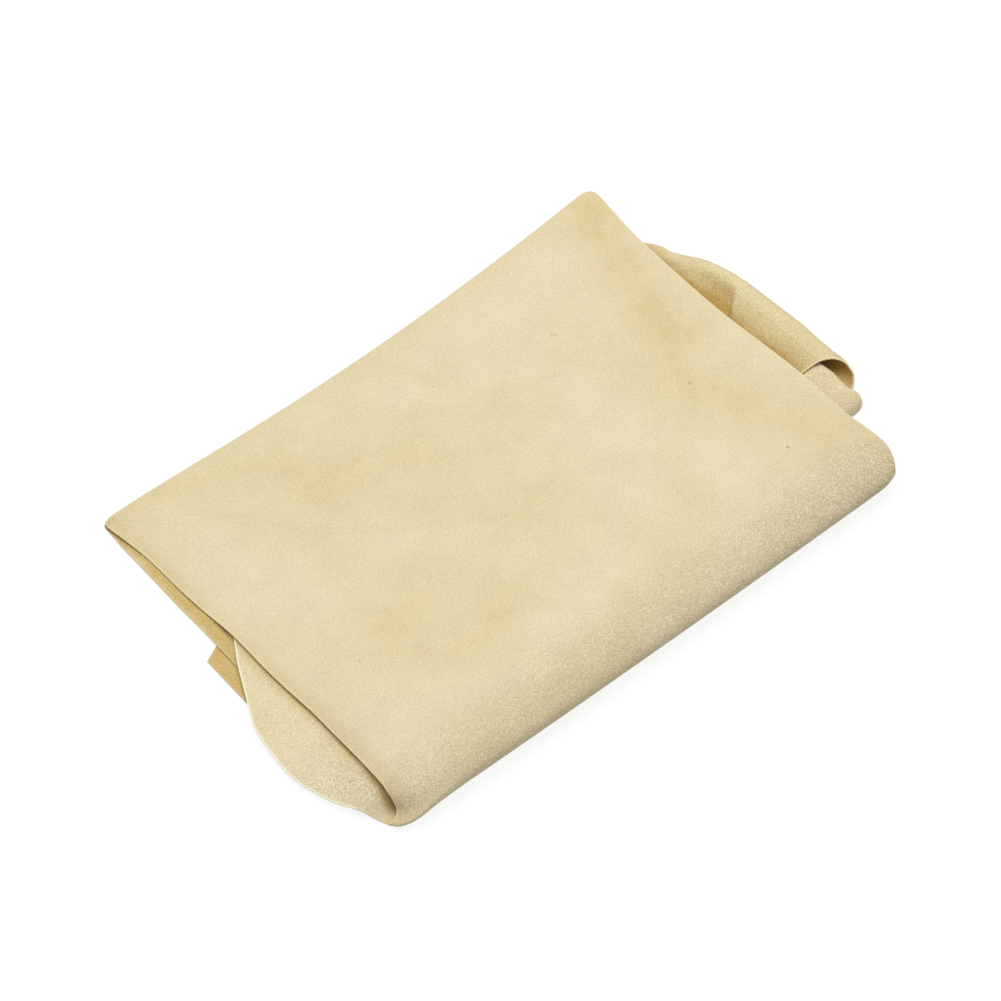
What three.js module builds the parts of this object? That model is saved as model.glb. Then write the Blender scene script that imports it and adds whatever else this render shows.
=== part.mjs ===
// A chamois leather: one natural-outline hide, folded like a letter and laid flat.
// Millimetres, X along the folds, Y from the front roll to the back crease, Z up.
// The hide is one sheet. Each mesh is the panel or half fold between two crease lines,
// so that the creases can hinge. The underside lies on the plane Z = 0.
import * as THREE from "three";

// Hide
const LEATHER = 1.1; // thickness of the sheet
const CLEARANCE = 0.3; // air between neighbouring panels and layers

// Folded pack, seen from above
const TOP_WIDTH = 268; // top panel, cut edge to cut edge
const PACK_DEPTH = 200; // front roll to back crease
const CREASE_SKEW = 2.9; // how much further back the crease lies at its right end
const FRONT_SKEW = 3.2; // how much further forward the roll lies at its right end

// Back crease, between the bottom leaf and the top panel
const CREASE_RADIUS = 1.7;
const CREASE_BOW = [[0, -1.2], [22, -0.5], [82, 2.7], [130, 3.9], [174, 3.4], [226, 1.1], [268, -1.1]];

// Front roll, between the top panel and the inner leaf
const ROLL_HEIGHT = 19;
const ROLL_NOSE = 10.5; // height of the foremost line of the roll
const ROLL_UPPER_REACH = 19; // from the foremost line back to the crest
const ROLL_LOWER_REACH = 10; // from the foremost line back to where it meets the ground
const ROLL_CREST_DEG = 100.5; // where the roll runs out into the sloping top panel
const ROLL_UNDERCUT = 6.5; // how far the right end is drawn in underneath

// Cut edges of the top panel: distance from the front, inset from the nominal side
const LEFT_INSET = [[0, 1.6], [12, 1.2], [31, 2.9], [50, 3.7], [94, 3.6], [119, 4.7], [155, 2], [197, -2]];
const RIGHT_INSET = [
  [0, 2.9], [4, 0.7], [10, -0.5], [33, 0.2], [63, 0], [120, 2.3], [164, 0.9], [183, -1.1], [197, -2.6],
];

const TOP_SAG = 4.5; // the left cut edge hangs this far below a straight slope
const SAG_WIDTH = 170; // the sag dies away over this width

// Inner leaf: distance from the front, reach of its tongue past the nominal left side
const TONGUE_REACH = [
  [10, 2.7], [15, 5.1], [23.5, 9.3], [30, 12.9], [41, 16.6], [50, 18.5], [60, 18.5],
  [72, 17.1], [80, 15.3], [94, 8.5], [108, 2.2], [119, -3],
];
const TONGUE_ROOT = 14; // width of the tongue's root under the top panel
const TONGUE_DROOP = 1; // fall of the tongue's rim towards the ground
const TONGUE_DROOP_SPAN = 28; // overhang over which it would fall that far
const INNER_DEPTH = 121; // reach of the inner leaf from the front
const INNER_RIGHT_INSET = [[20, 9], [40, 26], [121, 36]];

// Bottom leaf and its tail, turned under at the front
const BOTTOM_OVERHANG = 2.4; // strip that shows past the nominal left side
const TUCK_SETBACK = 24; // lower front fold, behind the front roll
const TAIL_OVERHANG = 9.9; // corner that shows past the nominal left side
const TAIL_CORNER = 117.5; // distance of that corner from the front
const TAIL_DEPTH = 130; // reach of the tail from the front
const TAIL_CORNER_LENGTH = 40; // stretch over which its rear edge slants back
const TAIL_INSET = 64; // its right end, in from the nominal right side
const STEP_LENGTH = 15; // the bottom leaf comes down to the ground over this length
const MARGIN_INSET = 22.4; // the side margin begins here, in from the nominal right side

// Side margin: the right edge of the bottom leaf, with a ripple, turned up and over
const MARGIN_REAR = 168; // distance of the fold's rear end from the front
const FOLD_RUNOUT = 12; // behind it, length over which the cut edge runs out to the side
const FOLD_ROWS = 16; // facets along the fold, shared by the pieces that meet there
const MARGIN_NOSE = 37; // distance of its rounded front end
const NOSE_LENGTH = 12; // length over which that end rounds down to the ground
const NOSE_WIDTH = 7; // width of the rounding of its cut edge
const RIPPLE_HEIGHT = 6.6;
const RIPPLE_FALL = 4.5; // width of its steep side, next to the fold
const RIPPLE_FADE = 90; // distance from the front where it begins to die away
const SIDE_FOLD_REACH = [
  [40, 21], [51, 22.6], [58, 24.3], [76, 24], [98, 21.8], [121.5, 19.8],
  [138, 16.9], [147.5, 10.2], [152.5, 7.2], [158.5, 5.6], [168, -1],
]; // distance from the front, outer face of the fold past the nominal right side
const SIDE_FOLD_HEIGHT = [[40, 10.6], [80, 10.8], [120, 8.6], [150, 5.6], [168, 4.2]];
const FLAP_DEPTH = 38; // how far the turned-over flap runs back towards the left
const FLAP_REAR_DEPTH = 25; // the same at its rear end
const FLAP_LEVEL = 10; // stretch of it that stays level before it sags
const FLAP_FALL = 0.3; // fall of its hidden free edge, as a share of the fold's height
const FLAP_FRONT_TOP = 61.5; // front cut edge: at the crest
const FLAP_FRONT_SIDE = 54; // at the outermost line
const FLAP_FRONT_FOOT = 40.5; // at the ground
const FLAP_FRONT_INNER = 65.5; // under the top panel

// Places that follow from the sizes above
const skin = LEATHER / 2;
const layer = LEATHER + CLEARANCE;
const seam = CLEARANCE / 2;
const leftSide = -TOP_WIDTH / 2;
const rightSide = TOP_WIDTH / 2;
const frontY = -PACK_DEPTH / 2;
const noseY = frontY + skin;
const crestTurn = THREE.MathUtils.degToRad(ROLL_CREST_DEG);
const creaseTop = skin + 2 * CREASE_RADIUS;
const rollRise = ROLL_HEIGHT - skin - ROLL_NOSE;
const rollDrop = ROLL_NOSE - skin;
const rollEndY = noseY + ROLL_UPPER_REACH * (1 - Math.cos(crestTurn));
const rollEndZ = ROLL_NOSE + rollRise * Math.sin(crestTurn);
const groundY = noseY + ROLL_LOWER_REACH;
const tuckY = frontY + TUCK_SETBACK;
const tuckRadius = layer / 2;
const rampY = tuckY - tuckRadius - skin - 3 * CLEARANCE;
const innerZ = skin + 2 * layer + CLEARANCE;
const tongueRootX = leftSide + TONGUE_ROOT;
const tailX = leftSide - TAIL_OVERHANG;
const tailEndY = frontY + TAIL_DEPTH;
const marginX = rightSide - MARGIN_INSET;
const tuckEndX = rightSide - TAIL_INSET;
const noseEndY = frontY + MARGIN_NOSE;
const footY = frontY + FLAP_FRONT_FOOT;
const rearY = frontY + MARGIN_REAR;
const quarter = Math.PI / 2;

const { clamp, lerp, smoothstep } = THREE.MathUtils;

// A smooth curve through a few [place, value] pairs, level beyond its ends.
function through(pairs, place) {
  const last = pairs.length - 1;
  if (place <= pairs[0][0]) return pairs[0][1];
  if (place >= pairs[last][0]) return pairs[last][1];
  const i = pairs.findIndex((pair) => pair[0] > place) - 1;
  const slope = (k) => {
    const a = pairs[Math.max(k - 1, 0)];
    const b = pairs[Math.min(k + 1, last)];
    return (b[1] - a[1]) / (b[0] - a[0]);
  };
  const [x0, y0] = pairs[i];
  const [x1, y1] = pairs[i + 1];
  const span = x1 - x0;
  const t = (place - x0) / span;
  const t2 = t * t;
  const t3 = t2 * t;
  return (
    (2 * t3 - 3 * t2 + 1) * y0 +
    (t3 - 2 * t2 + t) * span * slope(i) +
    (3 * t2 - 2 * t3) * y1 +
    (t3 - t2) * span * slope(i + 1)
  );
}

// Outlines of the hide
const fromFront = (y) => y - frontY;
const topLeft = (y) => leftSide + through(LEFT_INSET, fromFront(y));
const topRight = (y) => rightSide - through(RIGHT_INSET, fromFront(y));
const tongueLeft = (y) => leftSide - through(TONGUE_REACH, fromFront(y));
const innerRight = (y) => rightSide - through(INNER_RIGHT_INSET, fromFront(y));
const frontSkew = (x) => (FRONT_SKEW * x) / TOP_WIDTH;
const creaseLine = (x) => PACK_DEPTH / 2 + (CREASE_SKEW * x) / TOP_WIDTH - through(CREASE_BOW, x - leftSide);
const creaseY = (x) => creaseLine(x) - CREASE_RADIUS - skin;
const bottomZ = (y) =>
  lerp(skin + layer, skin, smoothstep(y, tailEndY + layer, tailEndY + layer + STEP_LENGTH));

// A closed sheet of the leather around a middle surface, given over two shares from 0 to 1.
function sheet(name, colour, columns, rows, middle) {
  const at = (i, j) => middle(i / columns, j / rows);
  const upper = [];
  const lower = [];
  for (let j = 0; j <= rows; j++) {
    for (let i = 0; i <= columns; i++) {
      const across = at(Math.min(i + 1, columns), j).sub(at(Math.max(i - 1, 0), j));
      const along = at(i, Math.min(j + 1, rows)).sub(at(i, Math.max(j - 1, 0)));
      const normal = across.cross(along).normalize().multiplyScalar(skin);
      const point = at(i, j);
      upper.push(point.clone().add(normal));
      lower.push(point.clone().sub(normal));
    }
  }
  const count = upper.length;
  const index = [];
  const quad = (a, b, c, d) => index.push(a, b, c, a, c, d);
  const cell = (i, j) => j * (columns + 1) + i;
  for (let j = 0; j < rows; j++) {
    for (let i = 0; i < columns; i++) {
      const [a, b, c, d] = [cell(i, j), cell(i + 1, j), cell(i + 1, j + 1), cell(i, j + 1)];
      quad(a, b, c, d);
      quad(count + d, count + c, count + b, count + a);
    }
  }
  const rim = (a, b) => quad(b, a, count + a, count + b);
  for (let i = 0; i < columns; i++) {
    rim(cell(i, 0), cell(i + 1, 0));
    rim(cell(i + 1, rows), cell(i, rows));
  }
  for (let j = 0; j < rows; j++) {
    rim(cell(columns, j), cell(columns, j + 1));
    rim(cell(0, j + 1), cell(0, j));
  }
  const geometry = new THREE.BufferGeometry().setFromPoints([...upper, ...lower]);
  geometry.setIndex(index);
  geometry.computeVertexNormals();
  const material = new THREE.MeshStandardMaterial({ color: colour, roughness: 0.95, metalness: 0 });
  const mesh = new THREE.Mesh(geometry, material);
  mesh.name = name;
  return mesh;
}

const point = (x, y, z) => new THREE.Vector3(x, y, z);
const GRAIN = 0xe7d8b0; // smoother side, outside the pack
const FLESH = 0xe1d3ae; // rougher side, inside the pack
const SHADED = 0xd6bd80; // deeper buff of the lower layers

// Tail: the front end of the bottom leaf, turned under. Its rear corner shows at the left.
function tailLeaf() {
  const cornerY = frontY + TAIL_CORNER;
  const left = (y) =>
    lerp(leftSide - BOTTOM_OVERHANG, tailX, smoothstep(y, tuckY, tuckY + TAIL_CORNER_LENGTH));
  const rear = (x) =>
    lerp(cornerY, tailEndY, Math.sin(quarter * clamp((x - tailX) / TAIL_CORNER_LENGTH, 0, 1)));
  return sheet("tail_leaf", SHADED, 12, 6, (s, t) => {
    const y = lerp(tuckY + seam, rear(lerp(tailX, tuckEndX, s)), t);
    return point(lerp(left(y), tuckEndX, s), y, skin);
  });
}

// Lower front fold, between the tail and the bottom leaf
function tuckFold() {
  return sheet("tuck_fold", SHADED, 12, 6, (s, t) => {
    const turn = lerp(-quarter, quarter, t);
    const x = lerp(leftSide - BOTTOM_OVERHANG, tuckEndX, s);
    return point(x, tuckY - seam - tuckRadius * Math.cos(turn), skin + tuckRadius * (1 + Math.sin(turn)));
  });
}

// Bottom leaf: lies on the tail, comes down to the ground behind it, and shows as a strip at the left
function bottomLeaf() {
  const front = (x) => lerp(tuckY + seam, noseEndY, smoothstep(x, tuckEndX, marginX));
  return sheet("bottom_leaf", SHADED, 20, 10, (s, t) => {
    const x = lerp(leftSide - BOTTOM_OVERHANG, marginX - seam, s);
    const y = lerp(front(x), creaseY(x) - CLEARANCE, t);
    return point(x, y, bottomZ(y));
  });
}

// Back crease, in two halves that part at its outermost line
function creaseHalf(name, colour, from, to) {
  return sheet(name, colour, 24, 4, (s, t) => {
    const turn = lerp(from, to, t);
    const x = lerp(topLeft(PACK_DEPTH / 2), topRight(PACK_DEPTH / 2), s);
    const y = creaseY(x) + CREASE_RADIUS * Math.cos(turn);
    return point(x, y, skin + CREASE_RADIUS * (1 + Math.sin(turn)));
  });
}

// Top panel: slopes from the crest of the front roll down to the back crease
function topPanel() {
  return sheet("top_panel", GRAIN, 24, 10, (s, t) => {
    const guess = lerp(rollEndY, creaseY(lerp(leftSide, rightSide, s)), t);
    const x = lerp(topLeft(guess), topRight(guess), s);
    const y = lerp(rollEndY + CLEARANCE - frontSkew(x), creaseY(x) - CLEARANCE, t);
    const sag = TOP_SAG * Math.sin(Math.PI * t) * (1 - smoothstep(x - leftSide, 0, SAG_WIDTH));
    return point(x, y, lerp(rollEndZ, creaseTop, t) - sag);
  });
}

// Front roll, in two halves that part at its foremost line
function rollUpper() {
  const end = seam / rollRise;
  return sheet("front_roll_upper", GRAIN, 20, 7, (s, t) => {
    const turn = lerp(crestTurn, end, t);
    const y = noseY + ROLL_UPPER_REACH * (1 - Math.cos(turn));
    const x = lerp(topLeft(y), topRight(y), s);
    return point(x, y - frontSkew(x), ROLL_NOSE + rollRise * Math.sin(turn));
  });
}

function rollLower() {
  const turned = 0.65; // share of the rows in the turn, the others ramp up to the inner leaf
  const start = -seam / rollDrop;
  const groundRight = topRight(noseY) - ROLL_UNDERCUT;
  return sheet("front_roll_lower", FLESH, 18, 10, (s, t) => {
    if (t <= turned) {
      const share = t / turned;
      const turn = lerp(start, -quarter, share);
      const y = noseY + ROLL_LOWER_REACH * (1 - Math.cos(turn));
      const left = lerp(topLeft(noseY), tongueLeft(groundY), share);
      const x = lerp(left, lerp(topRight(noseY), groundRight, share), s);
      return point(x, y - frontSkew(x), ROLL_NOSE + rollDrop * Math.sin(turn));
    }
    const share = (t - turned) / (1 - turned);
    const y = lerp(groundY, rampY, share);
    const x = lerp(tongueLeft(y), lerp(groundRight, innerRight(rampY), share), s);
    return point(x, y - frontSkew(x) * (1 - share), lerp(skin, innerZ, smoothstep(share, 0, 1)));
  });
}

// Inner leaf: the hide's end, tucked back inside the pack under the top panel
function innerLeaf() {
  return sheet("inner_leaf", FLESH, 12, 8, (s, t) => {
    const y = lerp(rampY + CLEARANCE, frontY + INNER_DEPTH, t);
    return point(lerp(tongueRootX + CLEARANCE, innerRight(y), s), y, innerZ);
  });
}

// Tongue: the lobe of the inner leaf that shows past the left cut edge
function tongue() {
  return sheet("tongue", FLESH, 6, 16, (s, t) => {
    const y = lerp(rampY + CLEARANCE, frontY + INNER_DEPTH, t);
    const x = lerp(tongueLeft(y), tongueRootX, s);
    return point(x, y, innerZ - TONGUE_DROOP * smoothstep(leftSide - x, 0, TONGUE_DROOP_SPAN));
  });
}

// Side fold: a half ring whose size falls off towards the back
const foldOuter = (y) => rightSide + through(SIDE_FOLD_REACH, fromFront(y)) - skin;
const foldRadius = (y) => (through(SIDE_FOLD_HEIGHT, fromFront(y)) - LEATHER) / 2;
const foldX = (y) => foldOuter(y) - foldRadius(y);

// Side margin: the right edge of the bottom leaf, rippled, from a rounded front end to the back crease
function sideMargin() {
  const right = (y) => {
    const round = clamp((footY - y) / (footY - noseEndY), 0, 1);
    const fold = foldX(clamp(y, footY, rearY)) - NOSE_WIDTH * (1 - Math.sqrt(1 - round * round));
    return lerp(fold, topRight(y), smoothstep(y, rearY, rearY + FOLD_RUNOUT)) - 2 * CLEARANCE;
  };
  const noseRows = 4; // facets ahead of the fold
  const rearRows = 5; // facets behind it
  const foldEnd = noseRows + FOLD_ROWS;
  const rows = foldEnd + rearRows;
  return sheet("side_margin", SHADED, 12, rows, (s, t) => {
    const row = t * rows;
    const crease = creaseY(lerp(marginX, topRight(PACK_DEPTH / 2), s)) - CLEARANCE;
    let y = lerp(rearY, crease, (row - foldEnd) / rearRows);
    if (row <= foldEnd) y = lerp(footY, rearY, (row - noseRows) / FOLD_ROWS);
    if (row <= noseRows) y = lerp(noseEndY, footY, row / noseRows);
    const x = lerp(marginX + seam, right(y), Math.sin(quarter * s));
    const nose = clamp((noseEndY + NOSE_LENGTH - y) / NOSE_LENGTH, 0, 1);
    const fade = 1 - smoothstep(y, frontY + RIPPLE_FADE, rearY);
    const rise = RIPPLE_HEIGHT * Math.sqrt(1 - nose * nose) * fade;
    const crest = right(y) - RIPPLE_FALL;
    const ripple = smoothstep(x, marginX, crest) * (1 - smoothstep(x, crest, right(y)));
    return point(x, y, lerp(bottomZ(y), skin, smoothstep(x, marginX, crest)) + rise * ripple);
  });
}

function sideFoldHalf(name, colour, from, to, frontFrom, frontTo) {
  return sheet(name, colour, FOLD_ROWS, 4, (s, t) => {
    const turn = lerp(from, to, t);
    const y = lerp(frontY + lerp(frontFrom, frontTo, t), rearY, s);
    const radius = foldRadius(y);
    return point(foldX(y) + radius * Math.cos(turn), y, skin + radius * (1 + Math.sin(turn)));
  });
}

// Side flap: the turned-over end of the margin, running back over the ripple and under the top panel
function sideFlap() {
  return sheet("side_flap", GRAIN, FOLD_ROWS, 10, (s, t) => {
    const inward = lerp(FLAP_DEPTH, FLAP_REAR_DEPTH, s);
    const front = frontY + lerp(FLAP_FRONT_TOP, FLAP_FRONT_INNER, smoothstep(t * inward, 0, FLAP_LEVEL));
    const y = lerp(front, rearY, s);
    const crest = skin + 2 * foldRadius(y);
    const fall = FLAP_FALL * smoothstep(t * inward, FLAP_LEVEL, inward);
    return point(foldX(y) - seam - t * inward, y, crest * (1 - fall));
  });
}

const creasePart = seam / CREASE_RADIUS;
const sidePart = seam / foldRadius(rearY);

const chamois = new THREE.Group();
chamois.name = "chamois_leather";
chamois.add(
  tailLeaf(),
  tuckFold(),
  bottomLeaf(),
  creaseHalf("back_crease_lower", SHADED, -quarter, -creasePart),
  creaseHalf("back_crease_upper", GRAIN, creasePart, quarter),
  topPanel(),
  rollUpper(),
  rollLower(),
  innerLeaf(),
  tongue(),
  sideMargin(),
  sideFoldHalf("side_fold_lower", SHADED, -quarter, -sidePart, FLAP_FRONT_FOOT, FLAP_FRONT_SIDE),
  sideFoldHalf("side_fold_upper", GRAIN, sidePart, quarter, FLAP_FRONT_SIDE, FLAP_FRONT_TOP),
  sideFlap(),
);

export default chamois;
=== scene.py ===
import math

import bpy
import numpy as np
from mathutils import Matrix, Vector
from mathutils.kdtree import KDTree


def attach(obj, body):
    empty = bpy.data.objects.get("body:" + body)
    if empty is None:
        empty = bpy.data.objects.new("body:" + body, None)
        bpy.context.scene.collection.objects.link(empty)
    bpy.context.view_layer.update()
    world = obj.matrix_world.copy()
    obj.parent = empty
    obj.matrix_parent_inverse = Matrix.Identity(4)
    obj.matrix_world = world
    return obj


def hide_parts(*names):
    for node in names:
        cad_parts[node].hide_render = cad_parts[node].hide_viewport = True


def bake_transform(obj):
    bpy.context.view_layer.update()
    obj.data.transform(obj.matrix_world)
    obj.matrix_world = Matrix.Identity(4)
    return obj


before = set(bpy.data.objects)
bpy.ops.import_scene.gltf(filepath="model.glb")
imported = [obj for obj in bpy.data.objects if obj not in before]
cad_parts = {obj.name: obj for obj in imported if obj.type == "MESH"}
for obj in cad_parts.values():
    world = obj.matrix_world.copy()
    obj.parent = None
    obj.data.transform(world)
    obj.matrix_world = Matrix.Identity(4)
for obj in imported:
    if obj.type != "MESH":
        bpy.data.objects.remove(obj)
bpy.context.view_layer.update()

# Camera: stands off the pack's left front corner and looks down on it through a long lens,
# so that the hide fills the middle of a square frame with little perspective.
PACK_CENTRE = Vector((-0.003, -0.0023, 0.008))
CAMERA_DISTANCE = 1.9
CAMERA_AZIMUTH = math.radians(-40)
CAMERA_ELEVATION = math.radians(55.6)
SENSOR_WIDTH_MM = 36
LENS_MM = 162.7

towards_camera = Vector((
    math.sin(CAMERA_AZIMUTH) * math.cos(CAMERA_ELEVATION),
    -math.cos(CAMERA_AZIMUTH) * math.cos(CAMERA_ELEVATION),
    math.sin(CAMERA_ELEVATION),
))
camera = bpy.data.objects.new("camera", bpy.data.cameras.new("camera"))
camera.location = PACK_CENTRE + towards_camera * CAMERA_DISTANCE
camera.rotation_euler = (-towards_camera).to_track_quat("-Z", "Y").to_euler()
camera.data.sensor_width = SENSOR_WIDTH_MM
camera.data.lens = LENS_MM
bpy.context.scene.collection.objects.link(camera)
bpy.context.scene.camera = camera

# Lower layers: the bottom leaf of the hide, with its front end turned under as a tail.
# Oil-tanned split skin, cut to its natural outline with shears. It lies flat on the floor under
# its own weight, and everything above rests on it. Its left side is painted a deeper buff, as
# painted shade under the overhang of the top panel.
LEATHER = 0.0011  # thickness of the hide
SKIN = LEATHER / 2
EDGE_THICKNESS = 0.6  # a hide thins out towards its cut edges
EDGE_TAPER = 0.005
EDGE_SETTLES = 0.0002  # as it thins, the left edge of the leaf comes down by this much
EDGE_SETTLES_ON_TAIL = 0.00042
LAYER = 0.0014  # from the middle of one layer to the middle of the next
LEFT_SIDE = -0.134  # the nominal pack
RIGHT_SIDE = 0.134
FRONT = -0.1
BACK = 0.1
CREASE_RADIUS = 0.0017
CREASE_SKEW = 0.0029 / 0.268
CREASE_BOW = (  # how far the back crease bows in, by the distance from the left side
    (0, -0.0012), (0.022, -0.0005), (0.082, 0.0027), (0.13, 0.0039),
    (0.174, 0.0034), (0.226, 0.0011), (0.268, -0.0019),
)
CREASE_HALF_WIDTH = 0.1364
CORNER_LENGTH = 0.006  # both ends of the crease are rounded off
CORNER_DEPTH = 0.0026
CREASE_MARGIN = 0.008  # flat stretch on both sides of the back crease that bends with it
BOTTOM_LEFT = -0.1364
TUCK_Y = -0.076
TUCK_RADIUS = 0.0007
TUCK_END_X = 0.07
TAIL_LEFT = -0.1439
TAIL_CORNER_Y = 0.0175
TAIL_END_Y = 0.03
TAIL_CORNER_LENGTH = 0.04
STEP_LENGTH = 0.015  # the bottom leaf comes down off the tail over this length
STRIP_RAISED = 0.7  # the strip at the left is brushed up by handling
STRIP_SETTLES_X = (-0.12, -0.08)  # and its nap lies down again between these places
LEFT_PAINTED_SHADE = 1.3
SHADE_FADES_X = ((0.02, -0.115), (0.085, -0.13))  # the painted shade is widest at the front
SHADE_GONE_X = ((0.02, 0.03), (0.085, -0.1))
EDGE_SHADE_SHARE = 0.5  # the painted shade is lighter over a narrow band at the left cut edge, outside the overhang
EDGE_SHADE_WIDTH = 0.0035
MARGIN_X = 0.1116
NOSE_END_Y = -0.0615  # front of the leaf at its right margin


def along(pairs, place):
    """A smooth curve through a few (place, value) pairs, level beyond its ends."""
    places, values = np.array(pairs, float).T
    slopes = np.gradient(values, places)
    slopes[1:-1] = (values[2:] - values[:-2]) / (places[2:] - places[:-2])
    place = np.clip(place, places[0], places[-1])
    i = np.clip(np.searchsorted(places, place, side="right") - 1, 0, len(places) - 2)
    span = places[i + 1] - places[i]
    t = (place - places[i]) / span
    return (
        (2 * t**3 - 3 * t**2 + 1) * values[i]
        + (t**3 - 2 * t**2 + t) * span * slopes[i]
        + (3 * t**2 - 2 * t**3) * values[i + 1]
        + (t**3 - t**2) * span * slopes[i + 1]
    )


def mix(a, b, share):
    return a + (b - a) * share


def ease(value, start, end):
    t = np.clip((value - start) / (end - start), 0, 1)
    return t * t * (3 - 2 * t)


def shares(count, fine=0.004):
    """Places from 0 to 1 across a sheet, closer together next to both cut edges."""
    inner = np.linspace(2 * fine, 1 - 2 * fine, count)
    return np.concatenate([[0, fine / 3, fine], inner, [1 - fine, 1 - fine / 3, 1]])


def crease_y(x):
    """Where the back crease begins to turn."""
    bow = along(CREASE_BOW, x - LEFT_SIDE)
    corner = np.clip(1 - (CREASE_HALF_WIDTH - np.abs(x)) / CORNER_LENGTH, 0, 1)
    rounded_off = CORNER_DEPTH * (1 - np.sqrt(1 - corner**2))
    return BACK + CREASE_SKEW * x - bow - CREASE_RADIUS - SKIN - rounded_off


def placed(x, y, z):
    """A grid of points from their places across, along and up."""
    return np.stack(np.broadcast_arrays(x, y, z), -1)


def row_lengths(points):
    """Length of hide along each column of a grid of points, from its first row."""
    steps = np.linalg.norm(np.diff(points, axis=0), axis=2)
    return np.concatenate([np.zeros((1, points.shape[1])), np.cumsum(steps, axis=0)])


FIRST_ROW, LAST_ROW = np.s_[0], np.s_[-1]
FIRST_COLUMN, LAST_COLUMN = np.s_[:, 0], np.s_[:, -1]


def numbered(points, *seam_borders):
    """Numbers of a grid's points, and a mark on those where the hide goes on in the next piece."""
    grid = np.arange(points[..., 0].size).reshape(points.shape[:2])
    seams = np.zeros(grid.size, bool)
    for border in seam_borders:
        seams[grid[border]] = True
    return grid, seams


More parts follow.
